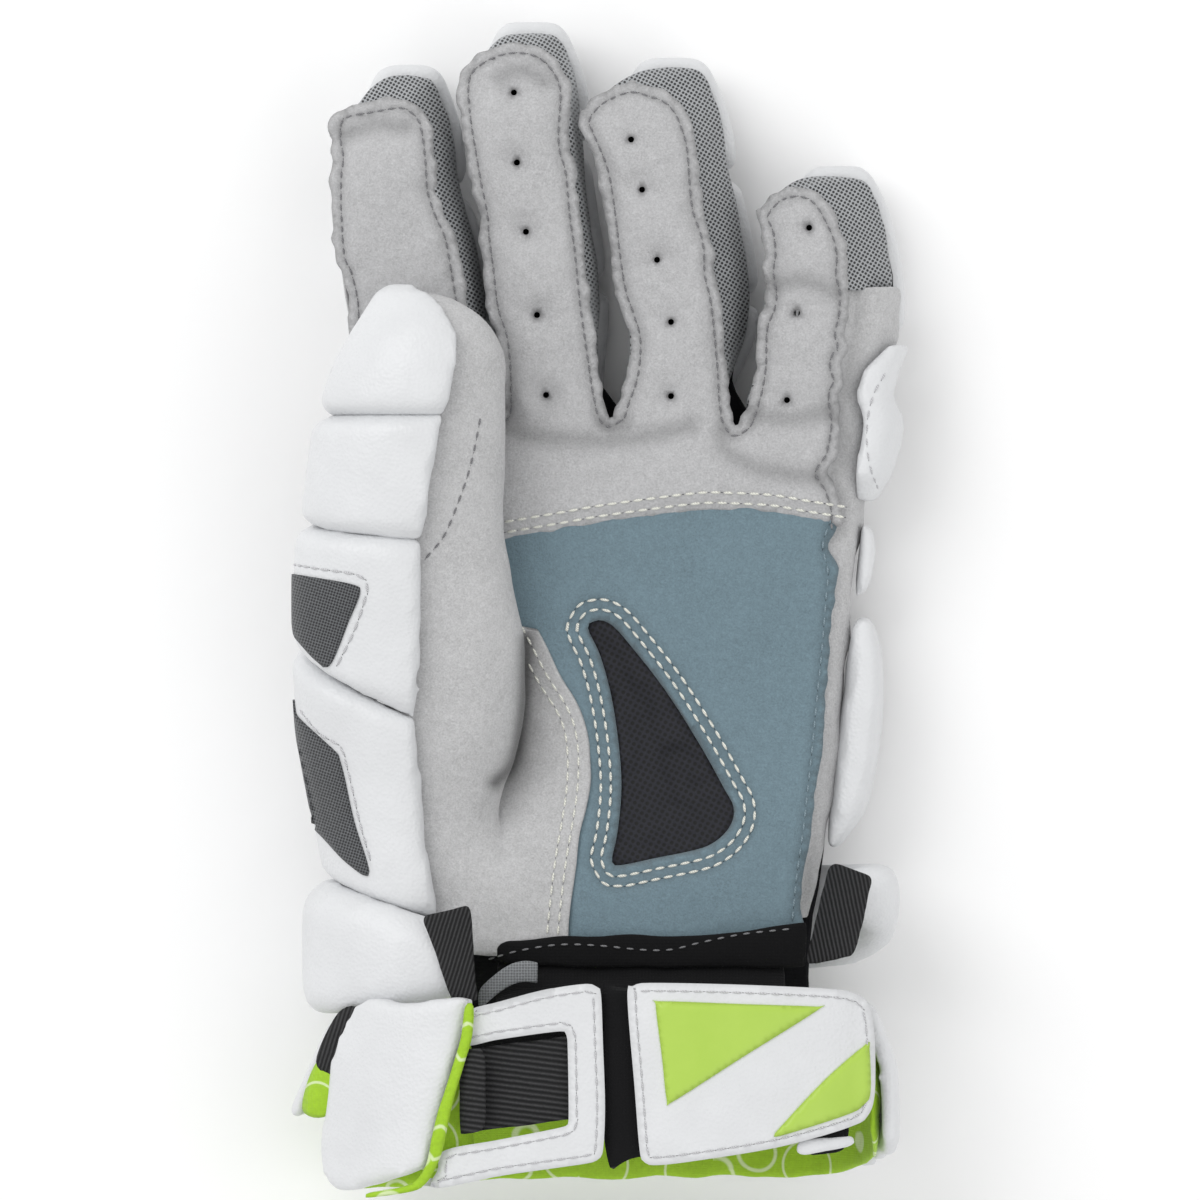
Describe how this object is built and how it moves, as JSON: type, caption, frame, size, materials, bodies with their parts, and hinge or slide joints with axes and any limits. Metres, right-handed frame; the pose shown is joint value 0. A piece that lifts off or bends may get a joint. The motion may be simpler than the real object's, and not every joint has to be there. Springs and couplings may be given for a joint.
{
  "type": "lacrosse glove",
  "caption": "Left-hand lacrosse glove, palm up, with segmented foam back and thumb pads, mesh finger gussets, suede palm with a mesh window, wrist roll and a strapped floating cuff.",
  "frame": {"origin": "middle of the underside of the glove, on the floor", "axes": "+Z leaves the palm, +Y runs from the cuff to the fingertips, +X points to the little finger side"},
  "size_m": [0.1766, 0.3282, 0.0859],
  "materials": {
    "suede": "matt microsuede",
    "liner_cloth": "matt knit",
    "gusset_mesh": "open knit mesh",
    "pad_leather": "satin coated leather",
    "vent_mesh": "woven mesh",
    "blue_suede": "matt microsuede",
    "palm_mesh": "stretch mesh",
    "binding": "matt stretch cloth",
    "lining": "smooth printed knit",
    "strap_leather": "satin coated leather",
    "elastic": "ribbed elastic",
    "hook_and_loop": "brushed hook and loop",
    "label_field": "soft satin",
    "ribbon": "woven tape"
  },
  "bodies": {
    "root": {"suede_front": "suede", "back_liner": "liner_cloth", "index_gusset": "gusset_mesh", "middle_gusset": "gusset_mesh", "ring_gusset": "gusset_mesh", "little_gusset": "gusset_mesh", "index_base_pad": "pad_leather", "index_mid_pad": "pad_leather", "index_tip_pad": "pad_leather", "middle_base_pad": "pad_leather", "middle_mid_pad": "pad_leather", "middle_tip_pad": "pad_leather", "ring_base_pad": "pad_leather", "ring_mid_pad": "pad_leather", "ring_tip_pad": "pad_leather", "little_base_pad": "pad_leather", "little_tip_pad": "pad_leather", "index_knuckle_pad": "pad_leather", "middle_knuckle_pad": "pad_leather", "ring_knuckle_pad": "pad_leather", "little_knuckle_pad": "pad_leather", "backhand_pad_thumb_side": "pad_leather", "backhand_pad_middle": "pad_leather", "backhand_pad_little_side": "pad_leather", "side_panel": "suede", "side_pad_upper": "pad_leather", "side_pad_middle": "pad_leather", "side_pad_lower": "pad_leather", "thumb_sleeve": "suede", "thumb_base_pad_lower": "pad_leather", "thumb_base_pad_upper": "pad_leather", "thumb_mid_pad": "pad_leather", "thumb_tip_pad": "pad_leather", "thumb_vent_upper": "vent_mesh", "thumb_vent_lower": "vent_mesh", "index_side_panel": "suede", "palm_patch": "blue_suede", "palm_mesh": "palm_mesh", "thumb_gusset": "suede", "palm_hem": "binding", "wrist_roll": "pad_leather", "cuff_lining": "lining", "cuff_back_panel": "pad_leather", "cuff_little_panel": "pad_leather", "cuff_corner_panel": "pad_leather", "cuff_thumb_panel": "pad_leather", "strap_frame": "strap_leather", "strap_elastic": "elastic", "loop_pad": "hook_and_loop", "label_base": "strap_leather", "label_field_upper": "label_field", "label_field_lower": "label_field", "hook_strip": "hook_and_loop", "closure_tab": "strap_leather", "cuff_neck": "binding", "elastic_loop_thumb": "elastic", "elastic_loop_little": "elastic", "ribbon_loop": "ribbon"}
  },
  "joints": []
}
